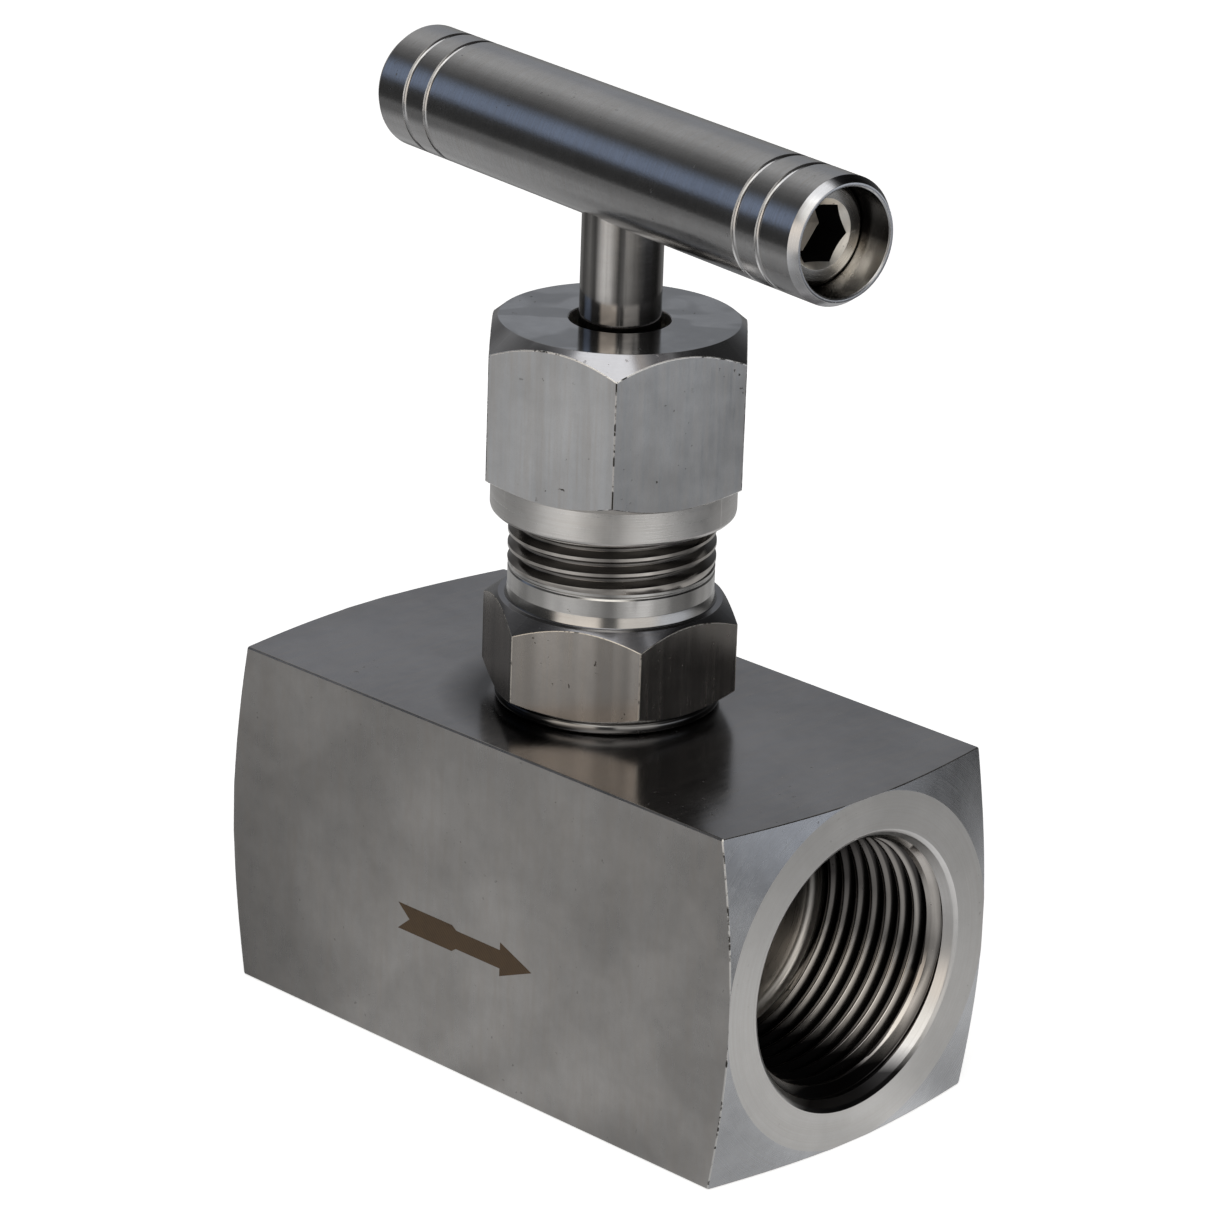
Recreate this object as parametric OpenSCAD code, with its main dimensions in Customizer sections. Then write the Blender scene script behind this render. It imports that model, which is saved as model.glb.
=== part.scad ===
// Needle valve: square bar body with two female pipe ports, screwed-in bonnet, adjustable
// stem packing under a hex packing nut, rising stem with a swivelling needle, and a T-bar handle.
// Frame: origin at the centre of the bottom face, +X towards the outlet, +Z up the stem.
// Heights are above the bottom face. Drawn two turns open, in millimetres.

/* [Body] */
// Width and height of the square bar
bar_size = 35; // [34:0.5:40]
// Length between the two end faces
body_length = 68; // [66:1:80]
// Radius of the flat turned ring on each end face
end_ring_r = 17.65; // [17:0.05:20]
// Setback of the body's corners behind its end faces
corner_setback = 1.8; // [0.5:0.1:3]

/* [Ports] */
// Port thread major radius, 3/4 inch parallel pipe
port_major_r = 13.22; // [13:0.01:13.4]
// Port thread minor radius
port_minor_r = 12.06; // [11.9:0.01:12.2]
// Depth of each port from its end face
port_depth = 17; // [16:0.5:20]
// Depth of the plain counterbore before the thread starts
port_counterbore = 1.4; // [1:0.1:3]
// Radius of the flow passages
passage_r = 3.9; // [3:0.1:4]
// Radius of the seat orifice
orifice_r = 3.5; // [2.5:0.1:3.7]

/* [Bonnet] */
// Hexagon size across flats
bonnet_af = 22; // [21.8:0.1:24]
// Height of the hexagon's underside
bonnet_hex_z = 36.4; // [36.2:0.1:36.7]
// Height of the ledge where the hexagon's cone meets the neck
bonnet_neck_z = 45.5; // [45:0.1:46]
// Height of the bonnet's top end
bonnet_top_z = 65; // [64:0.1:65]
// Turned angle of the hexagon's near corner about Z
bonnet_turn = 28.2; // [0:0.1:60]
// Major radius of the packing nut thread, M20 x 1.5
gland_thread_r = 9.95; // [9.9:0.01:10]
// Pitch shared by the packing nut, bonnet and stem threads
metric_pitch = 1.5; // [1:0.25:1.5]

/* [Packing nut] */
// Hexagon size across flats
nut_af = 24; // [23.6:0.1:26]
// Height of the nut's lower edge
nut_base_z = 54.2; // [53.5:0.1:55]
// Height of the nut's top face
nut_top_z = 73; // [73:0.1:74.5]
// Radius of the plain collar below the hexagon
collar_r = 11.75; // [11.4:0.05:11.8]
// Radius of the stem opening in the nut's top
nut_hole_r = 4.8; // [4.3:0.1:5.5]
// Turned angle of the hexagon about Z
nut_turn = 13.8; // [0:0.1:60]

/* [Stem and needle] */
// Radius of the plain stem rod
stem_r = 3.9; // [3.5:0.05:3.9]
// Major radius of the stem thread, M12 x 1.5
stem_thread_r = 5.95; // [5.8:0.01:5.98]
// Lift of the needle above its seat, as drawn
lift = 3; // [0.1:0.1:3]
// Half angle of the needle's cone in degrees
cone_half_angle = 30; // [25:1:35]
// Radius of the needle's shank
needle_r = 4.9; // [4.6:0.05:5]

/* [Handle] */
// Radius of the T-bar
handle_r = 6.05; // [5.8:0.05:6.5]
// Half length of the T-bar
handle_half = 31.8; // [30:0.1:36]
// Height of the T-bar's axis
handle_z = 88.3; // [87.5:0.1:89.5]
// Angle of the T-bar about Z, from the port axis
handle_turn = -7.4; // [-90:0.1:90]
// Radius of the screw's counterbore in the bar's end
counterbore_r = 5.1; // [5.05:0.05:5.3]

/* [Hidden] */
$fn = 96;

steel = [0.62, 0.62, 0.63];
dark_steel = [0.45, 0.45, 0.46];
ptfe = [0.92, 0.92, 0.9];
gap = 0.02;        // between pieces that bear on each other
run = 0.05;        // radial running clearance
cut = 0.5;         // how far a cutter runs past the face it opens
axis_z = bar_size / 2;
top_z = bar_size;
end_x = body_length / 2;

// Bonnet thread in the body, M18 x 1.5, drawn as a plain cylinder
bonnet_screw_r = 9;
bonnet_foot_z = axis_z + 9;
chamber_r = 7.8;
chamber_floor_z = axis_z + 0.8;
thread_bore_z = axis_z + 8.8;
inlet_passage_z = axis_z - 6;
outlet_passage_z = axis_z + 4.8;

// Bore of the bonnet: stem thread, backseat cone, stem guide, packing chamber
stem_bore_r = stem_thread_r + run;
backseat_z = 40;
guide_r = stem_r + run + gap;
packing_floor_z = 46.5;
packing_r = 6.5;
thread_start_z = 49;
thread_depth = 0.92;
shown_turns = 5;

// Packing stack
washer_h = 1.2;
adapter_h = 1.2;
ring_h = 1.5;
ring_count = 4;
packing_z = packing_floor_z + washer_h + gap;
rings_z = packing_z + adapter_h;
packing_in_r = stem_r + run;
packing_out_r = packing_r - run;
packing_top_z = 58;

// Packing nut bore
gland_flange_h = 2;
gland_flange_r = 8.5;
nut_shoulder_z = 68.7;

// Stem and needle stations, measured from the seat on the closed valve and raised by the lift
raised_z = axis_z + lift;
stem_foot_z = raised_z + 8;
stem_shoulder_z = raised_z + 17;
stem_top_z = handle_z + 3;
flat_depth = 2.45;          // distance of the screw flat from the stem axis
spigot_r = 2.9;
spigot_end_z = raised_z + 5.05;
groove_z = raised_z + 6.6;
wire_r = 0.4;
needle_top_z = raised_z + 7.8;
socket_r = 2.97;
socket_floor_z = raised_z + 1;
ball_r = 2;
tip_r = 0.5;
needle_cone_z = raised_z + gap + (needle_r - orifice_r) / tan(cone_half_angle);
needle_tip_z = needle_cone_z - (needle_r - tip_r) / tan(cone_half_angle);

// Handle
rim_chamfer = [0.55, 0.85];  // across the bar's wall, along the bar
groove_places = [23.4, 26.7];
groove_r = 0.38;
groove_depth = 0.3;
screw_face = 28.5;
screw_head_r = 5;
screw_head_h = 6;
screw_shank_r = 3;
screw_length = 20;
screw_socket_af = 5;
screw_socket_depth = 4;
screw_turn = 23;             // the socket's turned angle about the bar

function hex_r(af) = af / 2 / cos(30);

// A solid of revolution about Z from [radius, height] points
module turned(points) {
    rotate_extrude() polygon(points);
}

module hex_bar(af, z0, z1, turn) {
    rotate(turn) translate([0, 0, z0]) cylinder(h = z1 - z0, r = hex_r(af), $fn = 6);
}

// Cuts ring-shaped V grooves that stand in for an outside thread's turns
module thread_grooves(major_r, minor_r, pitch, z0, turns) {
    crest = pitch / 8;
    flank = (major_r - minor_r) * tan(30);
    reach = cut * tan(30);
    for (turn = [0 : turns - 1]) {
        z = z0 + turn * pitch + crest / 2;
        turned([
            [major_r + cut, z - reach],
            [minor_r, z + flank],
            [minor_r, z + pitch - crest - flank],
            [major_r + cut, z + pitch - crest + reach]
        ]);
    }
}

module along_x(x = 0, z = axis_z) {
    translate([x, 0, z]) rotate([0, 90, 0]) children();
}

// One port, drawn at the +X end
module port_cut() {
    along_x(end_x - port_depth) {
        cylinder(h = port_depth + cut, r = port_minor_r);
        translate([0, 0, port_depth - port_counterbore])
            cylinder(h = port_counterbore + cut, r = port_major_r + 0.03);
        translate([0, 0, port_depth - 0.6])
            cylinder(h = 0.6 + cut, r1 = port_major_r - 0.05, r2 = port_major_r + 1.05);
    }
}

// Everything inside the turned cones that trim the square bar's corners
module end_cones() {
    slope = corner_setback / (bar_size / 2 * sqrt(2) - end_ring_r);
    reach = bar_size;
    along_x() turned([
        [0, -end_x],
        [end_ring_r, -end_x],
        [reach, -end_x + (reach - end_ring_r) * slope],
        [reach, end_x - (reach - end_ring_r) * slope],
        [end_ring_r, end_x],
        [0, end_x]
    ]);
}

module body() {
    color(steel) difference() {
        intersection() {
            translate([0, 0, axis_z]) cube([body_length, bar_size, bar_size], center = true);
            end_cones();
        }
        port_cut();
        mirror([1, 0, 0]) port_cut();
        // bonnet thread, chamber, seat cone and orifice
        turned([
            [0, inlet_passage_z],
            [orifice_r, inlet_passage_z],
            [orifice_r, axis_z],
            [orifice_r + chamber_floor_z - axis_z, chamber_floor_z],
            [chamber_r, chamber_floor_z],
            [chamber_r, thread_bore_z],
            [bonnet_screw_r + gap, thread_bore_z],
            [bonnet_screw_r + gap, top_z + cut],
            [0, top_z + cut]
        ]);
        // inlet passage under the seat, outlet passage above it
        along_x(-end_x + port_depth - cut, inlet_passage_z)
            cylinder(h = end_x - port_depth + cut, r = passage_r);
        translate([0, 0, inlet_passage_z]) sphere(r = passage_r);
        along_x(0, outlet_passage_z)
            cylinder(h = end_x - port_depth + cut, r = passage_r);
    }
}

module bonnet_gasket() {
    outer = 10.85;
    inner = bonnet_screw_r + 0.1;
    bead = 0.35;
    color(dark_steel) turned([
        [inner, top_z + gap],
        [outer - bead, top_z + gap],
        [outer, top_z + bead],
        [outer, bonnet_hex_z - bead],
        [outer - bead, bonnet_hex_z - gap],
        [inner, bonnet_hex_z - gap]
    ]);
}

module bonnet_profile() {
    corner = hex_r(bonnet_af);
    neck_r = gland_thread_r - 0.05;
    foot_r = neck_r + 0.15;
    ledge_r = neck_r + 0.85;
    relief_r = 8.2;
    polygon([
        [stem_bore_r, bonnet_foot_z],
        [bonnet_screw_r - 0.8, bonnet_foot_z],
        [bonnet_screw_r, bonnet_foot_z + 0.8],
        [bonnet_screw_r, top_z - 1.2],
        [relief_r, top_z - 0.4],
        [relief_r, bonnet_hex_z],
        [bonnet_af / 2 - 0.05, bonnet_hex_z],
        [corner, bonnet_hex_z + 0.9],
        [corner, bonnet_neck_z - 1.5],
        [ledge_r, bonnet_neck_z],
        [foot_r + 0.2, bonnet_neck_z],
        [foot_r, bonnet_neck_z + 0.2],
        [neck_r, bonnet_neck_z + 1.1],
        [neck_r, thread_start_z - 0.3],
        [gland_thread_r, thread_start_z],
        [gland_thread_r, bonnet_top_z - 1],
        [gland_thread_r - 1, bonnet_top_z],
        [packing_r, bonnet_top_z],
        [packing_r, packing_floor_z],
        [guide_r, packing_floor_z],
        [guide_r, backseat_z + stem_bore_r - guide_r],
        [stem_bore_r, backseat_z]
    ]);
}

module bonnet() {
    wide = 2 * bonnet_af;
    color(steel) difference() {
        intersection() {
            rotate_extrude() bonnet_profile();
            union() {
                hex_bar(bonnet_af, bonnet_hex_z - gap, bonnet_neck_z + 1, bonnet_turn);
                cylinder(h = bonnet_hex_z, r = wide);
                translate([0, 0, bonnet_neck_z + 0.5]) cylinder(h = wide, r = wide);
            }
        }
        thread_grooves(gland_thread_r, gland_thread_r - thread_depth, metric_pitch,
            thread_start_z, shown_turns);
    }
}

module packing_washer() {
    color(dark_steel) turned([
        [packing_in_r, packing_floor_z + gap],
        [packing_out_r, packing_floor_z + gap],
        [packing_out_r, packing_floor_z + washer_h],
        [packing_in_r, packing_floor_z + washer_h]
    ]);
}

// One packing element. Its chevron surfaces run up to the ring's middle at 45 degrees;
// a flat end is asked for by giving its height.
module chevron(lip_z, height, flat_bottom = false, flat_top = false) {
    middle = (packing_in_r + packing_out_r) / 2;
    rise = (packing_out_r - packing_in_r) / 2;
    low = flat_bottom ? [] : [[middle, lip_z + rise]];
    high = flat_top ? [] : [[middle, lip_z + height + rise]];
    color(ptfe) turned(concat(
        [[packing_in_r, lip_z]],
        low,
        [[packing_out_r, lip_z], [packing_out_r, lip_z + height]],
        high,
        [[packing_in_r, lip_z + height]]
    ));
}

module packing_bottom_adapter() {
    chevron(packing_z, adapter_h - gap, flat_bottom = true);
}

module packing_ring(index) {
    chevron(rings_z + index * ring_h, ring_h - gap);
}

module packing_top_adapter() {
    lip_z = rings_z + ring_count * ring_h;
    chevron(lip_z, packing_top_z - lip_z - gap, flat_top = true);
}

module gland_follower() {
    flange_z = nut_shoulder_z - gland_flange_h - gap;
    color(steel) turned([
        [stem_r + 0.1, packing_top_z],
        [packing_out_r - 0.3, packing_top_z],
        [packing_out_r, packing_top_z + 0.3],
        [packing_out_r, flange_z],
        [gland_flange_r, flange_z],
        [gland_flange_r, flange_z + gland_flange_h - 0.3],
        [gland_flange_r - 0.3, flange_z + gland_flange_h],
        [stem_r + 0.1, flange_z + gland_flange_h]
    ]);
}

module packing_nut() {
    corner = hex_r(nut_af);
    hex_z = nut_base_z + 3.4;
    flat_r = 11.45;
    thread_r = gland_thread_r + run;
    color(steel) intersection() {
        turned([
            [thread_r + 0.7, nut_base_z],
            [collar_r - 0.2, nut_base_z],
            [collar_r, nut_base_z + 0.2],
            [collar_r, hex_z],
            [nut_af / 2 - 0.05, hex_z],
            [corner, hex_z + 1.1],
            [corner, nut_top_z - 2],
            [flat_r, nut_top_z],
            [nut_hole_r + 0.2, nut_top_z],
            [nut_hole_r, nut_top_z - 0.2],
            [nut_hole_r, nut_shoulder_z],
            [thread_r, nut_shoulder_z],
            [thread_r, nut_base_z + 0.7]
        ]);
        union() {
            hex_bar(nut_af, hex_z - gap, nut_top_z, nut_turn);
            translate([0, 0, nut_base_z]) cylinder(h = hex_z - nut_base_z, r = nut_af);
        }
    }
}

module needle() {
    groove_h = wire_r + run;
    color(steel) turned([
        [0, needle_tip_z],
        [tip_r, needle_tip_z],
        [needle_r, needle_cone_z],
        [needle_r, needle_top_z - 0.4],
        [needle_r - 0.4, needle_top_z],
        [socket_r + 0.3, needle_top_z],
        [socket_r, needle_top_z - 0.3],
        [socket_r, groove_z + groove_h],
        [socket_r + wire_r + run, groove_z + groove_h],
        [socket_r + wire_r + run, groove_z - groove_h],
        [socket_r, groove_z - groove_h],
        [socket_r, socket_floor_z],
        [0, socket_floor_z]
    ]);
}

module thrust_ball() {
    color(dark_steel) translate([0, 0, socket_floor_z + ball_r + gap / 2]) sphere(r = ball_r);
}

module needle_retaining_ring() {
    opening = 1.6;
    color(dark_steel) difference() {
        translate([0, 0, groove_z]) rotate_extrude() translate([socket_r, 0]) circle(r = wire_r, $fn = 24);
        translate([0, -opening / 2, groove_z - 1]) cube([5, opening, 2]);
    }
}

module stem() {
    groove_r = spigot_r - wire_r - run;
    color(dark_steel) difference() {
        turned([
            [0, spigot_end_z],
            [spigot_r - 0.3, spigot_end_z],
            [spigot_r, spigot_end_z + 0.3],
            [spigot_r, groove_z - wire_r - run],
            [groove_r, groove_z - wire_r - run],
            [groove_r, groove_z + wire_r + run],
            [spigot_r, groove_z + wire_r + run],
            [spigot_r, stem_foot_z],
            [stem_thread_r - 0.6, stem_foot_z],
            [stem_thread_r, stem_foot_z + 0.6],
            [stem_thread_r, stem_shoulder_z - 0.55],
            [stem_thread_r - 0.55, stem_shoulder_z],
            [stem_r, stem_shoulder_z + stem_thread_r - 0.55 - stem_r],
            [stem_r, stem_top_z - 0.4],
            [stem_r - 0.4, stem_top_z],
            [0, stem_top_z]
        ]);
        // flat that the handle screw bears on
        rotate(handle_turn)
            translate([flat_depth, -stem_r, handle_z - screw_shank_r - 0.4])
            cube([stem_r, 2 * stem_r, stem_top_z]);
    }
}

module on_handle_axis() {
    translate([0, 0, handle_z]) rotate(handle_turn) rotate([0, 90, 0]) children();
}

module handle_groove() {
    rotate_extrude()
        translate([handle_r - groove_depth + groove_r, 0])
        circle(r = groove_r, $fn = 24);
}

module handle_bar() {
    rim_r = handle_r - rim_chamfer[0];
    color(dark_steel) difference() {
        on_handle_axis() turned([
            [0, -handle_half],
            [rim_r, -handle_half],
            [handle_r, -handle_half + rim_chamfer[1]],
            [handle_r, handle_half - rim_chamfer[1]],
            [rim_r, handle_half],
            [0, handle_half]
        ]);
        for (side = [-1, 1], place = groove_places)
            on_handle_axis() translate([0, 0, side * place]) handle_groove();
        on_handle_axis() {
            cylinder(h = handle_half, r = screw_shank_r + gap);
            translate([0, 0, screw_face - screw_head_h]) cylinder(h = handle_half, r = counterbore_r);
            translate([0, 0, handle_half - 0.15])
                cylinder(h = 0.3, r1 = counterbore_r - 0.15, r2 = counterbore_r + 0.15);
        }
        cylinder(h = stem_top_z + 0.1, r = stem_r + gap);
    }
}

module handle_screw() {
    chamfer = 0.6;
    tip = screw_face - screw_head_h - screw_length;
    socket_r = hex_r(screw_socket_af);
    color(steel) on_handle_axis() difference() {
        turned([
            [0, tip + gap],
            [screw_shank_r - 0.7, tip + gap],
            [screw_shank_r, tip + 0.7],
            [screw_shank_r, screw_face - screw_head_h + gap],
            [screw_head_r, screw_face - screw_head_h + gap],
            [screw_head_r, screw_face - chamfer],
            [screw_head_r - chamfer, screw_face],
            [0, screw_face]
        ]);
        rotate(screw_turn) translate([0, 0, screw_face - screw_socket_depth])
            cylinder(h = screw_socket_depth + cut, r = socket_r, $fn = 6);
        translate([0, 0, screw_face - 0.35])
            cylinder(h = 0.35 + cut, r1 = socket_r - 0.35, r2 = socket_r + cut);
    }
}

body();
bonnet_gasket();
bonnet();
packing_washer();
packing_bottom_adapter();
packing_ring(0);  // packing_ring_1
packing_ring(1);  // packing_ring_2
packing_ring(2);  // packing_ring_3
packing_ring(3);  // packing_ring_4
packing_top_adapter();
gland_follower();
packing_nut();
needle();
thrust_ball();
needle_retaining_ring();
stem();
handle_bar();
handle_screw();
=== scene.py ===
"""Looks of a square-body needle valve with a T-bar handle, on its CAD frame. Lengths are in mm."""

import math

import bmesh
import bpy
from mathutils import Matrix, Vector


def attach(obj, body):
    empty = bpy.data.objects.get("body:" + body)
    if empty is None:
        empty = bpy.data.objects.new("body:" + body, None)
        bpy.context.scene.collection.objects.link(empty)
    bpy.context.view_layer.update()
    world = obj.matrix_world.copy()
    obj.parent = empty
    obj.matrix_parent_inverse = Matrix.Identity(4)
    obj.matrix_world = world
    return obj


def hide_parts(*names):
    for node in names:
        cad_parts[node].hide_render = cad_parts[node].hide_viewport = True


MM = 0.001
TAU = 2 * math.pi

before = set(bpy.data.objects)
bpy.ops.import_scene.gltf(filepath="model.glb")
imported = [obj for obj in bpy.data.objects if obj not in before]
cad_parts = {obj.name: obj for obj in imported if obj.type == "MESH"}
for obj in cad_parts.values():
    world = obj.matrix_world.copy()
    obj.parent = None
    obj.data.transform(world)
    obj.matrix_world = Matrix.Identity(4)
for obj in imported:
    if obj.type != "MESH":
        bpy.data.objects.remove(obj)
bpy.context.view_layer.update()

# ---------------------------------------------------------------- sizes shared by several pieces
BAR = 35.0  # side of the square body
AXIS_Z = BAR / 2  # height of the ports' axis
END_X = 34.0  # the body's ends
PORT_MINOR = 12.06  # crests of the ports' thread
PORT_MAJOR = 13.22  # its roots
PORT_PITCH = 1.814  # 14 turns to the inch
METRIC_PITCH = 1.5
BONNET_FLAT = 11.0  # half of a 22 mm hexagon
BONNET_TURN = math.radians(58.2)
NUT_FLAT = 12.0  # half of a 24 mm hexagon
NUT_TURN = math.radians(43.8)
HANDLE_Z = 88.3
HANDLE_TURN = math.radians(-7.4)
HANDLE_HALF = 31.8
HANDLE_R = 6.05
RIM_R = 5.5  # where the bevel round the handle's end meets its rim
BEVEL = 0.85
BORE_R = 5.1  # counterbore over the handle screw
CAMERA_TURN = math.radians(44.115)


# ---------------------------------------------------------------- mesh building
def filleted(points, steps=3, closed=True):
    """Rounds each (a, b, radius) corner of a polyline with an arc of steps segments."""
    out = []
    count = len(points)
    for i, (a, b, radius) in enumerate(points):
        here = Vector((a, b))
        if radius <= 0 or (not closed and i in (0, count - 1)):
            out.append((a, b))
            continue
        back = Vector(points[i - 1][:2]) - here
        ahead = Vector(points[(i + 1) % count][:2]) - here
        half = back.angle(ahead, math.pi) / 2
        if back.length < 1e-9 or ahead.length < 1e-9 or half > 1.56 or half < 0.01:
            out.extend([(a, b)] * (steps + 1))
            continue
        reach = min(radius / math.tan(half), 0.48 * back.length, 0.48 * ahead.length)
        radius = reach * math.tan(half)
        back.normalize()
        ahead.normalize()
        centre = here + (back + ahead).normalized() * (radius / math.sin(half))
        start = here + back * reach - centre
        turn = start.angle_signed(here + ahead * reach - centre)
        for k in range(steps + 1):
            arm = start.copy()
            arm.rotate(Matrix.Rotation(-turn * k / steps, 2))
            out.append(tuple(centre + arm))
    return out


def round_columns(count=192):
    return [(TAU * i / count, 0.0) for i in range(count)]


def polygon_columns(sides, apothem, turn, corner, per_side, per_corner=4):
    """(angle, distance) of points round a regular polygon with rounded corners."""
    columns = []
    half = math.pi / sides
    flat = math.atan((apothem - corner) * math.tan(half) / apothem)
    for k in range(sides):
        facing = turn + TAU * k / sides
        for i in range(per_side + 1):
            swing = flat * (2 * i / per_side - 1)
            columns.append((facing + swing, apothem / math.cos(swing)))
        hub = (apothem - corner) / math.cos(half)
        for i in range(1, per_corner):
            turned = 2 * half * i / per_corner
            x = hub * math.cos(half) + corner * math.cos(turned)
            y = hub * math.sin(half) + corner * math.sin(turned)
            columns.append((facing + math.atan2(y, x), math.hypot(x, y)))
    return columns


def skin(bm, columns, rings, closed=False):
    """Faces between successive rings of (distance, height) per column, turned about Z."""
    grid = []
    for ring in rings:
        row = []
        for (angle, _), (r, z) in zip(columns, ring):
            row.append(bm.verts.new((r * math.cos(angle), r * math.sin(angle), z)))
        grid.append(row)
    pairs = list(zip(grid, grid[1:]))
    if closed:
        pairs.append((grid[-1], grid[0]))
    count = len(columns)
    for low, high in pairs:
        for i in range(count):
            j = (i + 1) % count
            bm.faces.new((low[i], low[j], high[j], high[i]))


def profile_rings(columns, profile, steps=3, closed=True):
    """Rings from profile(distance), a list of (radius, height, fillet) for each column."""
    lines = [filleted(profile(rho), steps, closed) for _, rho in columns]
    return [list(ring) for ring in zip(*lines)]


def helix(bm, columns, turn_points, pitch, phase, low, high, envelope):
    """A right-handed thread between two heights. turn_points is one pitch of (radius, height)."""
    stations = len(turn_points)
    turns = int((high - low) / pitch) + 3
    grid = []
    for m in range(-2 * stations, turns * stations):
        radius, rise = turn_points[m % stations]
        base = low + phase + pitch * (m // stations) + rise
        row = []
        for angle, _ in columns:
            z = base + pitch * (angle % TAU) / TAU
            z = min(max(z, low), high)
            r = envelope(radius, z)
            row.append(bm.verts.new((r * math.cos(angle), r * math.sin(angle), z)))
        grid.append(row)
    first = min(range(len(columns)), key=lambda i: columns[i][0] % TAU)
    count = len(columns)
    for m in range(len(grid) - 1):
        for i in range(count):
            j = (i + 1) % count
            lift = stations if j == first else 0
            if m + 1 + lift >= len(grid):
                continue
            bm.faces.new((grid[m][i], grid[m + lift][j], grid[m + 1 + lift][j], grid[m + 1][i]))


def finish_mesh(name, bm, place=None, sharp=40):
    """A smooth-shaded object in metres from a bmesh in millimetres."""
    bmesh.ops.remove_doubles(bm, verts=bm.verts, dist=2e-5)
    flat = [f for f in bm.faces if f.calc_area() < 1e-9]
    bmesh.ops.delete(bm, geom=flat, context="FACES_ONLY")
    loose = [v for v in bm.verts if not v.link_faces]
    bmesh.ops.delete(bm, geom=loose, context="VERTS")
    bmesh.ops.recalc_face_normals(bm, faces=bm.faces)
    bm.transform(Matrix.Scale(MM, 4) @ (place or Matrix.Identity(4)))
    mesh = bpy.data.meshes.new(name)
    bm.to_mesh(mesh)
    bm.free()
    mesh.shade_smooth()
    mesh.set_sharp_from_angle(angle=math.radians(sharp))
    obj = bpy.data.objects.new(name, mesh)
    bpy.context.scene.collection.objects.link(obj)
    return obj


def even_shading(obj):
    """Keeps flat faces flat beside their rounded edges."""
    weighted = obj.modifiers.new("even_shading", "WEIGHTED_NORMAL")
    weighted.keep_sharp = True
    weighted.weight = 60


def turned(name, profile, place=None, count=192, steps=3, sharp=40):
    bm = bmesh.new()
    columns = round_columns(count)
    skin(bm, columns, profile_rings(columns, lambda _: profile, steps), closed=True)
    obj = finish_mesh(name, bm, place, sharp)
    even_shading(obj)
    return obj


# ---------------------------------------------------------------- the body's sizes
RING_R = 17.65  # flat ring round a port
CORNER_R = 24.75  # the bar's corners
CORNER_SETBACK = 1.8  # how far the end's cone falls back from the ring to the corners
MOUTH_R = 13.9
CONE_R = 13.52
CONE_X = END_X - 0.24  # where the mouth's steep chamfer gives way to a slim cone
THREAD_OUT = END_X - 1.15
THREAD_OUT_R = 13.0
THREAD_IN = 18.0
FLOOR_X = 17.0
FLOOR_FILLET = 1.0
PASSAGE_R = 3.9


# ---------------------------------------------------------------- materials
class Nodes:
    """Short-hand for building a shader."""

    def __init__(self, name, tree=None):
        if tree is None:
            self.material = bpy.data.materials.new(name)
            self.material.use_nodes = True
            tree = self.material.node_tree
        self.tree = tree
        self.shader = tree.nodes.get("Principled BSDF")

    def add(self, kind, **inputs):
        made = self.tree.nodes.new(kind)
        for key, value in inputs.items():
            if hasattr(made, key) and key not in made.inputs:
                setattr(made, key, value)
            else:
                self.put(made.inputs[key], value)
        return made

    def put(self, socket, value):
        if isinstance(value, bpy.types.NodeSocket):
            self.tree.links.new(value, socket)
        else:
            socket.default_value = value

    def math(self, operation, *values):
        made = self.tree.nodes.new("ShaderNodeMath")
        made.operation = operation
        for socket, value in zip(made.inputs, values):
            self.put(socket, value)
        return made.outputs[0]

    def hypot(self, a, b):
        squares = [self.math("MULTIPLY", side, side) for side in (a, b)]
        return self.math("SQRT", self.math("ADD", *squares))

    def vector(self, operation, *values):
        made = self.add("ShaderNodeVectorMath", operation=operation)
        for socket, value in zip(made.inputs, values):
            self.put(socket, value)
        return made.outputs["Value" if operation == "DOT_PRODUCT" else "Vector"]

    def xyz(self, vector):
        return self.add("ShaderNodeSeparateXYZ", Vector=vector).outputs

    def spread(self, value, low, high, new_low, new_high):
        made = self.tree.nodes.new("ShaderNodeMapRange")
        for socket, given in zip(made.inputs, (value, low, high, new_low, new_high)):
            self.put(socket, given)
        return made.outputs[0]

    def noise(self, vector, scale, detail=3.0, rough=0.55):
        made = self.tree.nodes.new("ShaderNodeTexNoise")
        self.put(made.inputs["Vector"], vector)
        self.put(made.inputs["Scale"], scale)
        self.put(made.inputs["Detail"], detail)
        self.put(made.inputs["Roughness"], rough)
        return made.outputs["Fac"]

    def ramp(self, value, stops):
        """Colour read off (place, grey or colour) stops as value goes from 0 to 1."""
        made = self.tree.nodes.new("ShaderNodeValToRGB")
        self.put(made.inputs[0], value)
        band = made.color_ramp
        band.interpolation = "EASE"
        while len(band.elements) < len(stops):
            band.elements.new(0.5)
        for element, (place, colour) in zip(band.elements, sorted(stops)):
            element.position = place
            grey = isinstance(colour, float)
            element.color = (colour, colour, colour, 1) if grey else colour + (1,)
        return made.outputs[0]

    def mix(self, amount, first, second):
        made = self.tree.nodes.new("ShaderNodeMix")
        made.data_type = "RGBA"
        self.put(made.inputs["Factor"], amount)
        self.put(made.inputs["A"], first)
        self.put(made.inputs["B"], second)
        return made.outputs["Result"]

    def roughen(self, height, strength):
        """Bumps 0.02 mm high where height is 1."""
        bump = self.add("ShaderNodeBump", Strength=strength, Distance=0.02 * MM, Height=height)
        self.put(self.shader.inputs["Normal"], bump.outputs[0])


WARM_LINES = (0.47, 0.41, 0.35, 1)
# black painted into the steel, mostly standing in for shade
PAINTED_BLACK = (0.012, 0.011, 0.012, 1)
PIT = (0.04, 0.035, 0.03, 1)
RUBBED = (0.93, 0.91, 0.88, 1)
NICK = (0.05, 0.045, 0.04, 1)
WEAR_REACH = 0.13  # how far wear spreads from an edge


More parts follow.
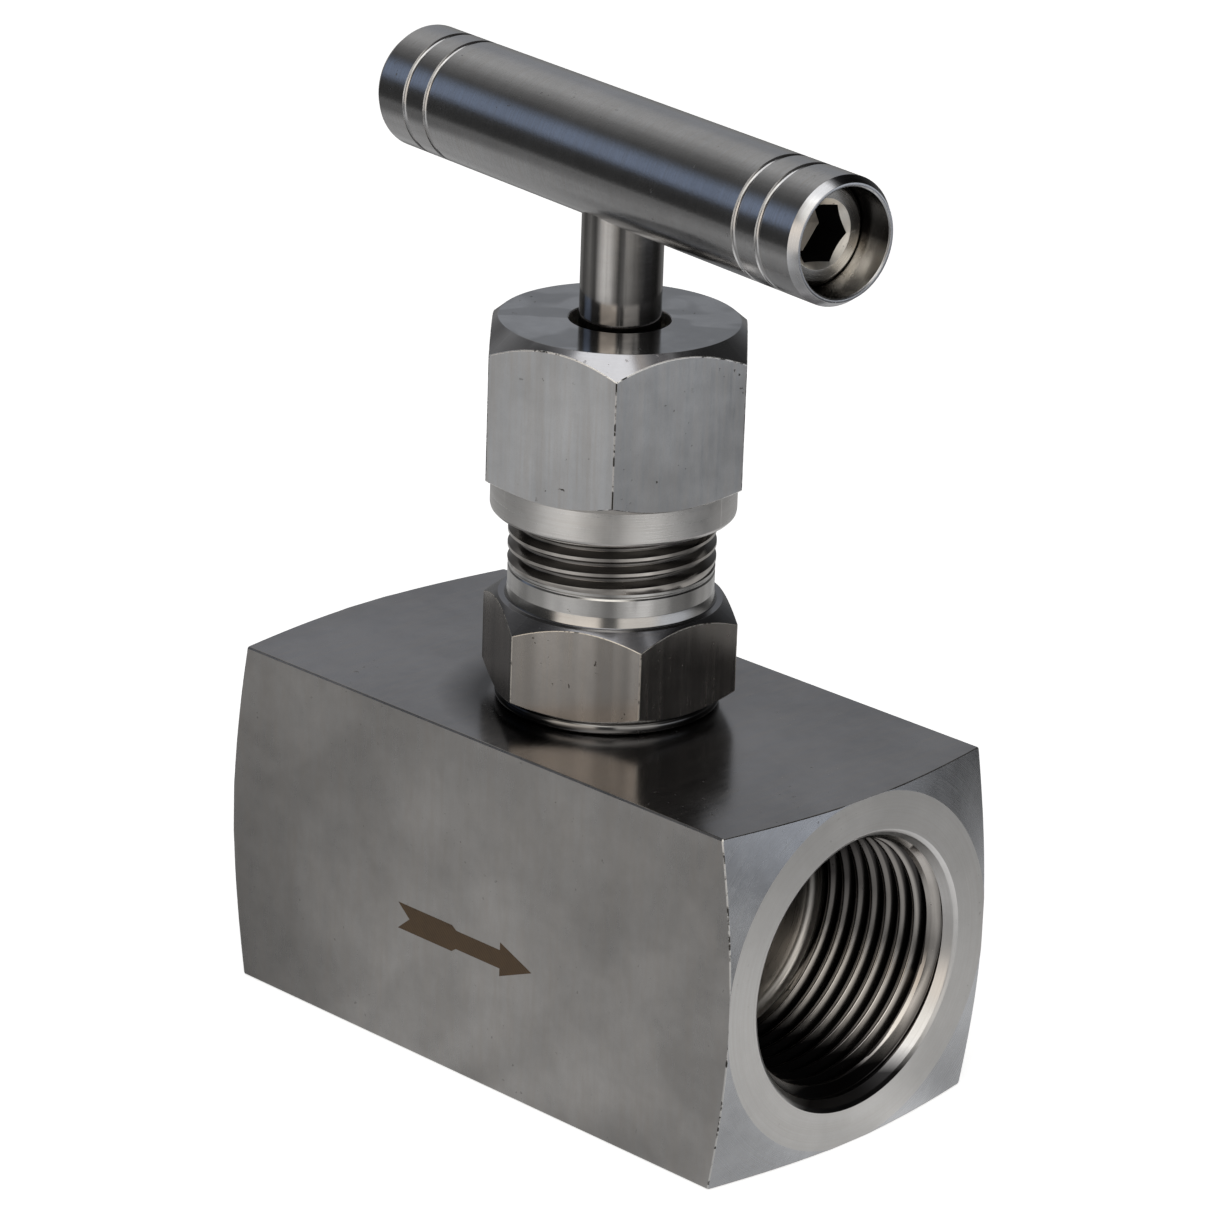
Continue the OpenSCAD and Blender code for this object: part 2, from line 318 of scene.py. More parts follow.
def turning_coordinates(n, mm, around, centre, spin):
    """Coordinates from a turned piece's axis, the distance from it, and lines that run round it."""
    straight = n.add("ShaderNodeVectorRotate", rotation_type="Z_AXIS", Angle=-spin)
    n.put(straight.inputs["Vector"], n.vector("SUBTRACT", mm, centre))
    parts = n.xyz(straight.outputs[0])
    across = [parts[k] for k in "XYZ" if k != around]
    distance = n.hypot(*across)
    cut = n.add("ShaderNodeCombineXYZ", X=n.math("MULTIPLY", distance, 6.0),
                Y=n.math("MULTIPLY", parts[around], 6.0),
                Z=n.math("MULTIPLY", n.math("ARCTAN2", *across), 0.8))
    return parts, distance, cut.outputs[0]


def pitting(n, mm):
    """Small pits that keep together in crowds."""
    flecks = n.noise(mm, 1.55, 2.0, 0.5)
    crowd = n.spread(n.noise(mm, 0.16, 1.0), 0.52, 0.62, 0.0, 1.0)
    return n.math("MULTIPLY", n.spread(flecks, 0.70, 0.73, 0.0, 1.0), crowd)


def edge_wear(n, mm, edge):
    """How far a spot on an edge is rubbed bright, and how far it is nicked."""
    rounded = n.add("ShaderNodeBevel", Radius=WEAR_REACH * MM, samples=6).outputs[0]
    flat = n.add("ShaderNodeNewGeometry").outputs["True Normal"]
    corner = n.spread(n.vector("DOT_PRODUCT", rounded, flat), 0.985, 0.88, 0.0, 1.0)
    rubbed = n.math("MULTIPLY", corner, n.spread(n.noise(mm, 1.7, 4.0, 0.75), 0.38, 0.58, 0.1, 1.0))
    nicked = n.math("MULTIPLY", corner, n.spread(n.noise(mm, 2.9, 2.0, 0.6), 0.60, 0.66, 0.0, edge))
    return n.math("MULTIPLY", rubbed, edge), nicked


def blots(n, mm, size, amount):
    """Wandering dull stains about size mm wide."""
    warp = n.add("ShaderNodeTexNoise", Vector=mm, Scale=0.9 / size, Detail=1.0).outputs["Color"]
    pushed = n.vector("MULTIPLY_ADD", warp, (1.9 * size,) * 3, mm)
    return n.spread(n.noise(pushed, 1 / size, 1.0, 0.4), 0.47, 0.55, 0.0, amount)


def steel(name, base, rough, lines=(1.0, 1.0, 1.0), around=None, centre=(0, 0, 0), spin=0.0, cloud=0.06,
          line_depth=0.25, pits=0.3, edge=0.35, grain_depth=0.10, line_contrast=0.16, spread_rough=0.16,
          grain_size=0.14, stains=0.0, stain_size=18.0, streaks=0.0, darkening=None):
    """Machined stainless steel: tool lines, cloudy patches, small pits and edges worn bright.

    lines stretches the tool lines along the axes with small numbers. around names the axis that a
    turned piece was cut about, and then its lines run round that axis through centre (mm), with
    the piece standing turned by spin about Z. darkening(n, parts, distance) gives how much black is
    painted in, mostly as painted shade, from the coordinates along those axes and the distance from
    the turning axis, or from Z where the piece isn't turned.
    """
    n = Nodes(name)
    mm = n.vector("MULTIPLY", n.add("ShaderNodeTexCoord").outputs["Object"], (1000.0,) * 3)
    if around:
        parts, distance, cut = turning_coordinates(n, mm, around, centre, spin)
    else:
        parts = n.xyz(mm)
        distance = n.hypot(parts["X"], parts["Y"])
        cut = n.vector("MULTIPLY", mm, lines)
    fine = n.noise(cut, 1.6, 5.0, 0.65)
    patches = n.noise(mm, 0.075, 3.0, 0.5)
    mottle = n.noise(mm, 0.55, 4.0, 0.6)
    grain = n.noise(mm, 1 / grain_size, 3.0, 0.7)
    cloudy = n.math("ADD", n.math("MULTIPLY", patches, 0.7), n.math("MULTIPLY", mottle, 0.3))
    pit = pitting(n, mm)
    rubbed, nicked = edge_wear(n, mm, edge)

    def shade(share):
        return tuple(min(1.0, c * share) for c in base) + (1,)

    colour = n.mix(n.spread(cloudy, 0.36, 0.64, 0.0, 1.0), shade(1 - 1.8 * cloud), shade(1 + 1.8 * cloud))
    colour = n.mix(n.spread(fine, 0.42, 0.72, 0.0, line_contrast), colour, WARM_LINES)
    colour = n.mix(n.spread(grain, 0.5, 0.72, 0.0, line_contrast), colour, shade(0.72))
    if stains:
        colour = n.mix(blots(n, mm, stain_size, stains), colour, shade(0.45))
    if streaks:
        wide = n.noise(n.vector("MULTIPLY", cut, (0.3,) * 3), 1.0, 1.0)
        colour = n.mix(n.spread(wide, 0.45, 0.62, 0.0, streaks), colour, shade(0.4))
    # black painted in where darkening says, mostly as painted shade
    if darkening:
        colour = n.mix(darkening(n, parts, distance), colour, PAINTED_BLACK)
    colour = n.mix(n.math("MULTIPLY", pit, pits), colour, PIT)
    colour = n.mix(rubbed, colour, RUBBED)
    colour = n.mix(nicked, colour, NICK)
    n.put(n.shader.inputs["Base Color"], colour)
    n.put(n.shader.inputs["Metallic"], 1.0)

    swing = rough * spread_rough
    roughness = n.math("ADD", n.spread(fine, 0.3, 0.7, rough - swing, rough + swing),
                       n.spread(cloudy, 0.36, 0.64, -0.12 * rough, 0.12 * rough))
    roughness = n.math("ADD", roughness, n.math("MULTIPLY", pit, 0.25))
    n.put(n.shader.inputs["Roughness"], roughness)

    height = n.math("ADD", n.math("MULTIPLY", fine, line_depth), n.math("MULTIPLY", grain, grain_depth))
    height = n.math("SUBTRACT", height, n.math("MULTIPLY", pit, 0.6))
    n.roughen(height, 0.35)
    return n.material


def plastic(name, base, rough=0.45, shine=0.5):
    n = Nodes(name)
    place = n.add("ShaderNodeTexCoord").outputs["Object"]
    patches = n.noise(place, 400.0, 3.0)
    colour = n.mix(patches, tuple(c * 0.86 for c in base) + (1,), base + (1,))
    n.put(n.shader.inputs["Base Color"], colour)
    n.put(n.shader.inputs["Roughness"], n.spread(patches, 0.3, 0.7, rough - 0.08, rough + 0.1))
    n.put(n.shader.inputs["Specular IOR Level"], shine)
    n.put(n.shader.inputs["Subsurface Weight"], 0.1)
    n.roughen(n.noise(place, 3000.0, 2.0), 0.2)
    return n.material


def burnt_mark(name):
    """Laser-annealed brown with the laser's close parallel hatching."""
    n = Nodes(name)
    place = n.add("ShaderNodeTexCoord").outputs["Object"]
    hatch = n.add("ShaderNodeTexWave", Scale=1500.0, Distortion=1.5, bands_direction="DIAGONAL")
    n.put(hatch.inputs["Vector"], place)
    patches = n.noise(place, 900.0, 4.0)
    amount = n.math("ADD", n.math("MULTIPLY", hatch.outputs["Fac"], 0.3),
                    n.math("MULTIPLY", patches, 0.7))
    colour = n.mix(amount, (0.045, 0.026, 0.012, 1), (0.125, 0.082, 0.045, 1))
    n.put(n.shader.inputs["Base Color"], colour)
    n.put(n.shader.inputs["Metallic"], 0.45)
    n.put(n.shader.inputs["Roughness"], n.spread(patches, 0.3, 0.7, 0.38, 0.6))
    return n.material


def worn_edge(name, light, dark, share, rough=0.3):
    """An edge rubbed bright and broken by dark nicks. More share leaves fewer nicks."""
    n = Nodes(name)
    place = n.add("ShaderNodeTexCoord").outputs["Object"]
    nicks = n.math("MULTIPLY", n.noise(place, 1300.0, 3.0, 0.7), 0.6)
    patches = n.math("MULTIPLY", n.noise(place, 240.0, 2.0), 0.4)
    amount = n.spread(n.math("ADD", nicks, patches), share - 0.03, share + 0.03, 0.0, 1.0)
    n.put(n.shader.inputs["Base Color"], n.mix(amount, light + (1,), dark + (1,)))
    n.put(n.shader.inputs["Metallic"], 1.0)
    n.put(n.shader.inputs["Roughness"], n.spread(nicks, 0.2, 0.4, rough, rough + 0.15))
    n.roughen(nicks, 0.3)
    return n.material


# ---------------------------------------------------------------- black painted in, mostly as shade, 0 none to 1 black
def port_painted_shade(n, parts, distance):
    """Painted shade in the roots of a port's thread, deep inside and along its bottom."""
    along = n.math("ABSOLUTE", parts["X"])
    height = parts["Z"]
    crests = n.math("MAXIMUM", n.spread(along, THREAD_OUT - 1.6, THREAD_OUT, PORT_MINOR, THREAD_OUT_R),
                    PORT_MINOR)
    root = n.math("MULTIPLY", n.spread(n.math("SUBTRACT", distance, crests), 0.10, 0.50, 0.0, 1.0),
                  n.spread(height, -3.0, -8.0, 0.93, 0.82))
    low = n.spread(height, -10.2, -11.7, 0.0, 0.97)
    near = n.spread(along, FLOOR_X + 2, THREAD_OUT - 0.4, 0.0, 1.0)
    deep = n.math("MULTIPLY", n.math("SUBTRACT", 1.0, n.math("MULTIPLY", near, near)),
                  n.spread(height, -5.0, 2.0, 0.0, 0.92))
    middle = n.math("MULTIPLY", n.spread(height, -6.5, -3.0, 0.0, 0.38),
                    n.spread(height, -1.0, 2.0, 1.0, 0.2))
    # share left without painted shade deep inside or midway down
    unshaded = n.math("MULTIPLY", n.math("SUBTRACT", 1.0, deep), n.math("SUBTRACT", 1.0, middle))
    return n.math("MAXIMUM", n.math("MAXIMUM", root, low), n.math("SUBTRACT", 1.0, unshaded))


def port_floor_painted_shade(n, parts, distance):
    """Painted shade on the upper part of a port's floor."""
    return n.spread(parts["Z"], -5.0, 2.0, 0.0, 0.85)


def mouth_painted_shade(n, parts, distance):
    """Painted shade along the bottom of a port's mouth."""
    return n.spread(parts["Z"], -10.3, -12.2, 0.0, 0.96)


def bore_painted_shade(n, parts, distance):
    """Painted shade in the handle's counterbore, left off low on its far side where it is lit."""
    unshaded = n.math("MULTIPLY", n.spread(parts["Z"], -0.6, -2.2, 0.0, 1.0),
                   n.spread(parts["Y"], 0.4, 2.2, 0.0, 1.0))
    return n.math("MULTIPLY", n.math("SUBTRACT", 1.0, unshaded), 0.92)


def bevel_painted_shade(n, parts, distance):
    """Painted shade in an arc on top of the bevel round the handle's end."""
    along_arc = n.math("ADD", parts["Z"], n.math("MULTIPLY", parts["Y"], 0.9))
    return n.spread(along_arc, 3.6, 5.0, 0.0, 0.92)


def across_view(n, parts):
    """How far right of the stem's axis a spot lies, seen from the camera."""
    return n.math("ADD", n.math("MULTIPLY", parts["X"], math.cos(CAMERA_TURN)),
                  n.math("MULTIPLY", parts["Y"], math.sin(CAMERA_TURN)))


def gasket_painted_shade(n, parts, distance):
    """Painted shade on the gasket's two sides, as seen from the camera."""
    across = across_view(n, parts)
    return n.math("MAXIMUM", n.spread(across, -5.5, -8.0, 0.0, 0.93),
                  n.spread(across, 5.0, 8.0, 0.0, 0.85))


def top_painted_shadow(n, parts, distance):
    """Painted shadow on the body's top face round where the bonnet goes in, thickest on the left."""
    ring = n.math("MULTIPLY", n.spread(distance, 12.4, 16.5, 1.0, 0.0),
                  n.spread(distance, 11.0, 11.6, 0.6, 1.0))
    return n.math("MULTIPLY", ring, n.spread(across_view(n, parts), -7.0, -2.0, 0.85, 0.10))


def stem_darkening(n, parts, distance):
    """Darker on the stem just where it leaves the packing."""
    return n.spread(parts["Z"], 76.4, 73.2, 0.0, 0.62)


# ---------------------------------------------------------------- materials
PORT_AXIS = {"around": "X", "centre": (0, 0, AXIS_Z)}
HANDLE_AXIS = {"around": "X", "centre": (0, 0, HANDLE_Z), "spin": HANDLE_TURN}
SMOOTH = {"line_depth": 0.1, "pits": 0.0}

BAR_STEEL = steel("bar_steel", (0.50, 0.485, 0.47), 0.31, lines=(0.9, 1.2, 0.12), edge=0.30, cloud=0.08,
                  line_contrast=0.22, stains=0.17)
TOP_STEEL = steel("top_steel", (0.34, 0.335, 0.34), 0.20, lines=(1.1, 0.10, 1.2), edge=0.20, cloud=0.07,
                  line_contrast=0.22, darkening=top_painted_shadow)
RING_STEEL = steel("end_ring_steel", (0.60, 0.59, 0.575), 0.40, edge=0.30, cloud=0.05, pits=0.1,
                   **PORT_AXIS)
CONE_STEEL = steel("end_cone_steel", (0.54, 0.55, 0.57), 0.27, edge=0.45, cloud=0.08, pits=0.2,
                   **PORT_AXIS)
PORT_STEEL = steel("port_steel", (0.54, 0.51, 0.48), 0.20, edge=0.0, darkening=port_painted_shade, **SMOOTH,
                   **PORT_AXIS)
PORT_FLOOR = steel("port_floor", (0.74, 0.71, 0.67), 0.34, edge=0.0, darkening=port_floor_painted_shade, **SMOOTH,
                   **PORT_AXIS)
MOUTH_STEEL = steel("mouth_steel", (0.68, 0.67, 0.66), 0.34, edge=0.0, line_depth=0.12, pits=0.0,
                    darkening=mouth_painted_shade, **PORT_AXIS)
BODY_EDGE = worn_edge("body_edge", (0.80, 0.79, 0.77), (0.07, 0.065, 0.06), 0.53)
BONNET_FLATS = steel("bonnet_flats", (0.39, 0.365, 0.34), 0.24, lines=(1.3, 1.3, 0.05), edge=0.45,
                     pits=0.8, line_contrast=0.32, cloud=0.09, streaks=0.5)
BONNET_EDGE = worn_edge("bonnet_edge", (0.66, 0.62, 0.56), (0.15, 0.14, 0.13), 0.55)
BONNET_STEEL = steel("bonnet_steel", (0.56, 0.55, 0.535), 0.16, around="Z", line_depth=0.12, pits=0.1)
# dark base: a painted dark reflection on the cone over the hexagon's corners and the hexagon's top
BONNET_CONE_PAINTED_DARK = steel("bonnet_cone_painted_dark", (0.235, 0.237, 0.25), 0.19, around="Z", line_depth=0.12, pits=0.2)
THREAD_CREST = steel("thread_crest", (0.50, 0.47, 0.44), 0.13, around="Z", edge=0.1, **SMOOTH)
# dark base: painted shade on the thread's flanks and roots
THREAD_FLANK_PAINTED_SHADE = steel("thread_flank_painted_shade", (0.20, 0.19, 0.18), 0.16, around="Z", edge=0.1, **SMOOTH)
NUT_FLATS = steel("nut_flats", (0.53, 0.54, 0.555), 0.36, lines=(1.5, 1.5, 0.06), edge=0.7, pits=0.9,
                  line_contrast=0.24, cloud=0.08, streaks=0.12)
NUT_EDGE = worn_edge("nut_edge", (1.0, 0.99, 0.97), (0.10, 0.10, 0.10), 0.56, rough=0.4)
NUT_CORNER = worn_edge("nut_corner", (0.62, 0.61, 0.60), (0.06, 0.055, 0.05), 0.49, rough=0.4)
NUT_STEEL = steel("nut_steel", (0.80, 0.785, 0.765), 0.32, around="Z", line_depth=0.15, pits=0.1,
                  edge=0.3)
NUT_CONE = steel("nut_cone", (0.46, 0.46, 0.475), 0.18, around="Z", line_depth=0.12, pits=0.0, edge=0.3)
NUT_TOP = steel("nut_top", (0.50, 0.505, 0.515), 0.13, around="Z", line_depth=0.06, pits=0.6, cloud=0.10,
                stains=0.5, stain_size=6.0)
STEM_STEEL = steel("stem_steel", (0.48, 0.465, 0.45), 0.11, around="Z", line_depth=0.08, pits=0.15,
                   darkening=stem_darkening)
WASHER_STEEL = steel("washer_steel", (0.24, 0.24, 0.24), 0.2, around="Z", line_depth=0.1)
# dark base and painted shade: the gasket sits in the hexagon's shade
GASKET_PAINTED_SHADE_STEEL = steel("gasket_steel", (0.24, 0.24, 0.24), 0.11, around="Z", line_depth=0.1,
                     darkening=gasket_painted_shade)
SCREW_STEEL = steel("screw_steel", (0.40, 0.385, 0.36), 0.24, pits=0.2, edge=0.8, cloud=0.10,
                    **HANDLE_AXIS)
# near black: painted shade in the hexagon socket
SOCKET_PAINTED_SHADE = plastic("socket_painted_shade", (0.003, 0.003, 0.003), 0.9, shine=0.05)
SOCKET_FLOOR = steel("socket_floor", (0.62, 0.58, 0.52), 0.5, pits=0.5, edge=0.0, cloud=0.2,
                     **HANDLE_AXIS)
SOCKET_LEAD = steel("socket_lead", (0.56, 0.54, 0.50), 0.34, pits=0.6, edge=0.5, cloud=0.25,
                    **HANDLE_AXIS)
HANDLE_STEEL = steel("handle_steel", (0.53, 0.53, 0.535), 0.18, line_depth=0.16, pits=0.25, edge=0.5,
                     spread_rough=0.35, grain_depth=0.8, grain_size=0.28, line_contrast=0.35,
                     **HANDLE_AXIS)
RIM_STEEL = steel("rim_steel", (0.54, 0.545, 0.56), 0.25, line_depth=0.14, pits=0.2, edge=0.9,
                  **HANDLE_AXIS)
BEVEL_STEEL = steel("bevel_steel", (0.56, 0.565, 0.58), 0.25, line_depth=0.14, pits=0.3, edge=0.9,
                    darkening=bevel_painted_shade, **HANDLE_AXIS)
# bright warm base: a painted lit patch where the counterbore's painted shade leaves off
BORE_STEEL = steel("bore_steel", (1.0, 0.93, 0.82), 0.20, line_depth=0.2, pits=0.0, edge=0.0, cloud=0.2,
                   darkening=bore_painted_shade, **HANDLE_AXIS)
NEEDLE_STEEL = steel("needle_steel", (0.58, 0.58, 0.59), 0.16, around="Z", **SMOOTH)
PTFE = plastic("white_ptfe", (0.86, 0.86, 0.83))
BROWN_MARK = burnt_mark("brown_mark")


def dress(obj, *materials, choose=None):
    """Gives obj its materials. choose(centre, normal), in mm, picks one by number for each face.

    The line between two materials is shaded as a crisp edge.
    """
    mesh = obj.data
    mesh.materials.clear()
    for material in materials:
        mesh.materials.append(material)
    for polygon in mesh.polygons:
        polygon.material_index = choose(polygon.center / MM, polygon.normal) if choose else 0
    if not choose:
        return
    bm = bmesh.new()
    bm.from_mesh(mesh)
    for line in bm.edges:
        if len({face.material_index for face in line.link_faces}) > 1:
            line.smooth = False
    bm.to_mesh(mesh)
    bm.free()


# ---------------------------------------------------------------- body
ALONG_X = Matrix(((0, 0, 1, 0), (1, 0, 0, 0), (0, 1, 0, AXIS_Z), (0, 0, 0, 1)))


def whitworth_turn():
    """One pitch of (radius, height) of a rounded 55 degree thread, tip to tip."""
    rounding = 0.137329 * PORT_PITCH
    overshoot = 0.160083 * PORT_PITCH  # from a rounded crest or root to its sharp corner
    tip = PORT_MINOR - overshoot
    root = PORT_MAJOR + overshoot
    line = []
    for k in range(4):
        line.append((tip if k % 2 == 0 else root, (k - 1) * PORT_PITCH / 2, rounding))
    bent = filleted(line, 5, closed=False)
    return bent[1:13]


def body_outside(rho):
    """From one port's thread out round the bar's side to the other port's thread."""
    ring = min(RING_R, rho - 0.06)
    slope = CORNER_SETBACK / (CORNER_R - RING_R)
    edge = END_X - max(0.0, rho - RING_R) * slope
    half = [
        (THREAD_OUT_R, THREAD_OUT, 0),
        (CONE_R - 0.03, CONE_X - 0.06, 0),
        (CONE_R, CONE_X, 0),
        (MOUTH_R, END_X, 0.04),
        (ring, END_X, 0),
        (rho, edge, 0.15),
    ]
    return half + [(r, -z, f) for r, z, f in reversed(half)]


def outlet_ends(radius, x):
    """Cuts the outlet's thread off at its mouth's cone and runs it out at its inner end."""
    depth = THREAD_OUT - x
    washout = PORT_MINOR + (PORT_MAJOR - PORT_MINOR) * (x - THREAD_IN) / 0.5
    outer = min(radius, washout, THREAD_OUT_R + 0.8 * depth)
    return max(outer, THREAD_OUT_R - 0.6 * depth, PORT_MINOR)


def inlet_ends(radius, x):
    return outlet_ends(radius, -x)


def port_floor(bm, columns, side, lift, depth):
    """One side's port floor, with its passage drilled lift above the axis in to depth."""
    rings = [[(PORT_MINOR, side * THREAD_IN)] * len(columns)]
    for k in range(7):
        bend = math.radians(15 * k)
        ring = (PORT_MINOR - FLOOR_FILLET * (1 - math.cos(bend)),
                side * (FLOOR_X + FLOOR_FILLET * (1 - math.sin(bend))))
        rings.append([ring] * len(columns))
    skin(bm, columns, rings)
    chamfer = 0.3
    tip = 2.2  # left by the drill
    grid = []
    for radius, x, shift in (
            (PORT_MINOR - FLOOR_FILLET, FLOOR_X, 0.0), (PASSAGE_R + chamfer, FLOOR_X, lift),
            (PASSAGE_R, FLOOR_X - chamfer, lift), (PASSAGE_R, depth, lift), (0.0, depth - tip, lift)):
        row = []
        for angle, _ in columns:
            row.append(bm.verts.new((radius * math.cos(angle), radius * math.sin(angle) + shift,
                                     side * x)))
        grid.append(row)
    for low, high in zip(grid, grid[1:]):
        for i in range(len(columns)):
            j = (i + 1) % len(columns)
            bm.faces.new((low[i], low[j], high[j], high[i]))


def body_shell():
    bm = bmesh.new()
    columns = polygon_columns(4, BAR / 2, 0.0, 0.22, 44)
    skin(bm, columns, profile_rings(columns, body_outside, 3, closed=False))
    thread = whitworth_turn()
    helix(bm, columns, thread, PORT_PITCH, 0.12, THREAD_IN, THREAD_OUT, outlet_ends)
    helix(bm, columns, thread, PORT_PITCH, 0.9, -THREAD_OUT, -THREAD_IN, inlet_ends)
    port_floor(bm, columns, 1, 4.8, 1.0)
    port_floor(bm, columns, -1, -6.0, -3.2)
    return finish_mesh("body_shell", bm, ALONG_X, 40)


def cut_cavity(obj):
    """Opens the bonnet's thread, the chamber, the seat and the orifice."""
    orifice_r = 3.5
    chamber_r = 7.8
    thread_r = 9.02
    z = AXIS_Z
    cavity = turned("cavity", [
        (0, z - 6, 0), (orifice_r, z - 6, 0), (orifice_r, z, 0), (orifice_r + 0.8, z + 0.8, 0),
        (chamber_r, z + 0.8, 0), (chamber_r, z + 8.8, 0), (thread_r, z + 8.8, 0),
        (thread_r, z + 20, 0), (0, z + 20, 0)], count=96)
    cavity.modifiers.clear()
    cut = obj.modifiers.new("cavity", "BOOLEAN")
    cut.object = cavity
    cut.operation = "DIFFERENCE"
    cut.solver = "EXACT"
    graph = bpy.context.evaluated_depsgraph_get()
    mesh = bpy.data.meshes.new_from_object(obj.evaluated_get(graph))
    mesh.name = obj.name
    obj.modifiers.clear()
    obj.data = mesh
    bpy.data.objects.remove(cavity)
    mesh.shade_smooth()
    mesh.set_sharp_from_angle(angle=math.radians(40))


def body_face(centre, normal):
    """0 sides, 1 top, 2 end ring, 3 end cone, 4 port threads, 5 mouths, 6 floors, 7 worn edges."""
    radius = math.hypot(centre.y, centre.z - AXIS_Z)
    if radius < MOUTH_R + 0.02 and abs(centre.x) > FLOOR_X - 1:
        if abs(centre.x) < THREAD_IN:
            return 6
        return 5 if abs(centre.x) > THREAD_OUT else 4
    if 0.15 < abs(normal.x) < 0.95 and abs(normal.y) > 0.3:
        return 7
    if abs(normal.x) > 0.999:
        return 2
    if abs(normal.x) > 0.9:
        return 3
    return 1 if normal.z > 0.9 else 0


body = body_shell()
cut_cavity(body)
even_shading(body)
dress(body, BAR_STEEL, TOP_STEEL, RING_STEEL, CONE_STEEL, PORT_STEEL, MOUTH_STEEL, PORT_FLOOR,
      BODY_EDGE, choose=body_face)
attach(body, "valve_body")
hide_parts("body")


def flow_arrow():
    """A plain block arrow pointing at the outlet, burnt into the -Y side."""
    proud = 0.012
    below_axis = 3.7
    tip = 8.4
    bm = bmesh.new()
    upper = [(-10.0, 1.35), (-2.5, 1.35), (-1.9, 0.95), (4.1, 0.95), (4.1, 1.75)]
    outline = upper + [(tip, 0.0)] + [(x, -z) for x, z in reversed(upper)] + [(-tip, 0.0)]
    centre_z = AXIS_Z - below_axis
    front = [bm.verts.new((x, -BAR / 2 - proud, centre_z + z)) for x, z in outline]
    back = [bm.verts.new((x, -BAR / 2 + 0.05, centre_z + z)) for x, z in outline]
    bm.faces.new(front)
    bm.faces.new(back)
    for i in range(len(outline)):
        j = (i + 1) % len(outline)
        bm.faces.new((front[i], front[j], back[j], back[i]))
    return finish_mesh("flow_arrow", bm)


arrow = flow_arrow()
dress(arrow, BROWN_MARK)
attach(arrow, "valve_body")


# ---------------------------------------------------------------- gasket and bonnet
GASKET_IN = 9.12
GASKET_OUT = 10.85
GASKET_LOW = BAR + 0.03
GASKET_HIGH = BAR + 1.37

gasket = turned("gasket_ring", [
    (GASKET_IN, GASKET_LOW, 0.1), (GASKET_OUT, GASKET_LOW, 0.62),
    (GASKET_OUT, GASKET_HIGH, 0.62), (GASKET_IN, GASKET_HIGH, 0.1)], steps=8)
dress(gasket, GASKET_PAINTED_SHADE_STEEL)
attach(gasket, "valve_body")
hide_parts("bonnet_gasket")

BONNET_HEX_Z = 36.4  # the hexagon's underside
NECK_Z = 45.5  # its top, where the neck starts
NECK_R = 9.9
NECK_STEP = NECK_R + 0.85  # where the cone over the hexagon's corners starts
THREAD_Z = 48.9
BONNET_TOP = 65.0
THREAD_TOP = BONNET_TOP - 1.1
CREST_R = 9.95
CREST = METRIC_PITCH / 5
THREAD_DEPTH = 0.80
STEM_HOLE_R = 3.97


def bonnet_outline(rho):
    """From the thread's top in through the packing chamber, down, and up the outside again."""
    half_across = BONNET_FLAT / math.cos(math.pi / 6)
    below = BONNET_HEX_Z + (rho - BONNET_FLAT + 0.05) * 0.9 / 1.70
    above = NECK_Z - (rho - NECK_STEP) * 1.5 / (half_across - NECK_STEP)
    return [
        (NECK_R, THREAD_TOP, 0), (NECK_R - 0.9, BONNET_TOP, 0.1), (6.5, BONNET_TOP, 0.15),
        (6.5, 46.5, 0), (STEM_HOLE_R, 46.5, 0), (STEM_HOLE_R, 42.0, 0), (6.0, 40.0, 0),
        (6.0, 26.5, 0.1), (8.2, 26.5, 0), (9.0, 27.3, 0), (9.0, 33.8, 0), (8.2, 34.6, 0),
        (8.2, BONNET_HEX_Z, 0), (BONNET_FLAT - 0.05, BONNET_HEX_Z, 0.05),
        (rho, below, 0.12), (rho, above, 0.14), (NECK_STEP, NECK_Z, 0.05),
        (NECK_R + 0.17, NECK_Z + 0.02, 0.2), (NECK_R, NECK_Z + 1.1, 0.5),
        (NECK_R, 48.25, 0.02), (NECK_R - 0.12, 48.4, 0.02), (NECK_R - 0.12, 48.5, 0.02),
        (NECK_R, 48.65, 0.02), (NECK_R, THREAD_Z, 0)]


def metric_turn():
    """One pitch of (radius, height) of a 60 degree thread with crisp flat crests and rounded roots."""
    flank = THREAD_DEPTH * math.tan(math.radians(30))
    root_r = CREST_R - THREAD_DEPTH
    line = [(CREST_R, -CREST / 2, 0), (CREST_R, CREST / 2, 0), (root_r, CREST / 2 + flank, 0.04),
            (root_r, METRIC_PITCH - CREST / 2 - flank, 0.04)]
    before = [(r, z - METRIC_PITCH, f) for r, z, f in line]
    after = [(r, z + METRIC_PITCH, f) for r, z, f in line]
    return filleted(before + line + after, 3, closed=False)[10:20]


def bonnet_thread_ends(radius, z):
    """Deepens the grooves from nothing at the neck, and tapers the top."""
    if z <= THREAD_Z:
        return NECK_R
    start = NECK_R - (z - THREAD_Z)
    finish = NECK_R - (z - THREAD_TOP) * 0.5
    return min(max(radius, start), finish)


def bonnet_mesh():
    bm = bmesh.new()
    columns = polygon_columns(6, BONNET_FLAT, BONNET_TURN, 0.18, 26)
    skin(bm, columns, profile_rings(columns, bonnet_outline, 5, closed=False))
    helix(bm, columns, metric_turn(), METRIC_PITCH, 0.62, THREAD_Z, THREAD_TOP, bonnet_thread_ends)
    return finish_mesh("bonnet_shell", bm, sharp=32)


def hexagon_face(apothem, facing, hex_z, cone_z, top_z):
    """0 turned, 1 flats, 2 cone over the corners, 3 top, 4 the flats' ends, 5 upright corners."""
    def choose(centre, normal):
        radius = math.hypot(centre.x, centre.y)
        if radius > apothem - 0.06 and hex_z < centre.z and abs(normal.z) < 0.7:
            swing = (math.atan2(normal.y, normal.x) - facing) % (TAU / 6)
            if min(swing, TAU / 6 - swing) < 0.02 and abs(normal.z) < 0.05:
                return 1
            return 5 if abs(normal.z) < 0.05 else 4
        if cone_z < centre.z < top_z + 0.1 and normal.z > 0.5:
            return 3 if normal.z > 0.95 else 2
        return 0
    return choose


